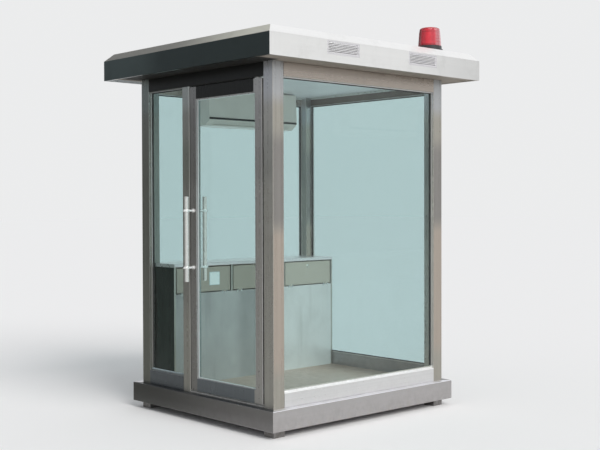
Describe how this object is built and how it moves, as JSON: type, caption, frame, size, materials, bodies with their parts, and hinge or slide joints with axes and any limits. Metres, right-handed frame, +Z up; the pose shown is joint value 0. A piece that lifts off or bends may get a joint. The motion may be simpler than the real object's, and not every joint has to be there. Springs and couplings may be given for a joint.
{
  "type": "security guard booth",
  "caption": "Stainless steel and glass guard booth with an overhanging roof, swing door, wall desk, air conditioner and roof beacon.",
  "frame": {"origin": "on the ground, at the middle of the booth's footprint", "axes": "+Z up; the door faces -Y; +X is the side with the large window that the picture shows; the desk stands along -X"},
  "size_m": [1.904, 2.1, 2.829],
  "materials": {
    "stainless": "hairline brushed stainless, lengthwise grain",
    "plinth_steel": "hairline brushed stainless, scuffed",
    "joist_steel": "plain zinc-coated tube",
    "door_steel": "hairline brushed stainless",
    "roof_steel": "fine brushed stainless sheet",
    "soffit_sheet": "fine brushed stainless sheet",
    "ceiling_sheet": "smooth white panel",
    "floor_sheet": "worn metal floor sheet",
    "window_glass": "clear float glass with a green tint",
    "bead_aluminium": "satin glazing bead",
    "grille": "satin louvred sheet",
    "beacon_black": "black moulded base",
    "beacon_red": "translucent red lens",
    "lamp_metal": "bright reflector",
    "pivot_steel": "plain bright steel",
    "desk_steel": "hairline brushed stainless",
    "panel_sheet": "smooth pale sheet",
    "ac_plastic": "white moulded casing",
    "handle_steel": "polished stainless tube"
  },
  "bodies": {
    "booth": {"post_front_right": "stainless", "post_front_left": "stainless", "post_back_right": "stainless", "post_back_left": "stainless", "rail_right": "stainless", "rail_left": "stainless", "rail_back": "stainless", "rail_sidelight": "stainless", "header_right": "stainless", "header_left": "stainless", "header_front": "stainless", "header_back": "stainless", "mullion": "stainless", "threshold": "stainless", "plinth_front": "plinth_steel", "plinth_back": "plinth_steel", "plinth_left": "plinth_steel", "plinth_right": "plinth_steel", "feet": "plinth_steel", "floor_joists": "joist_steel", "glass_right": "window_glass", "glass_left": "window_glass", "glass_back": "window_glass", "glass_sidelight": "window_glass", "glazing_beads": "bead_aluminium", "floor_plate": "floor_sheet", "roof_cap": "roof_steel", "soffit": "soffit_sheet", "ceiling": "ceiling_sheet", "vent_grilles": "grille", "beacon_base": "beacon_black", "beacon_lens": "beacon_red", "beacon_lamp": "lamp_metal", "door_pivots": "pivot_steel", "desk_top": "desk_steel", "desk_carcass": "desk_steel", "desk_panel": "panel_sheet", "flap_hinges": "pivot_steel", "ac_body": "ac_plastic", "ac_vane": "ac_plastic"},
    "door": {"door_frame": "door_steel", "door_glass": "window_glass", "handle_outside": "handle_steel", "handle_inside": "handle_steel"},
    "front_flap": {"flap_front": "desk_steel"},
    "middle_flap": {"flap_middle": "desk_steel"},
    "back_flap": {"flap_back": "desk_steel"}
  },
  "joints": [
    {"name": "door_swing", "type": "hinge", "parent": "booth", "child": "door", "pos_m": [0.579, -0.828, 0.206], "axis": [0, 0, 1], "range_deg": [0, 90]},
    {"name": "front_flap_drop", "type": "hinge", "parent": "booth", "child": "front_flap", "pos_m": [-0.396, -0.535, 0.871], "axis": [0, 1, 0], "range_deg": [0, 90]},
    {"name": "middle_flap_drop", "type": "hinge", "parent": "booth", "child": "middle_flap", "pos_m": [-0.396, 0, 0.871], "axis": [0, 1, 0], "range_deg": [0, 90]},
    {"name": "back_flap_drop", "type": "hinge", "parent": "booth", "child": "back_flap", "pos_m": [-0.396, 0.535, 0.871], "axis": [0, 1, 0], "range_deg": [0, 90]}
  ]
}
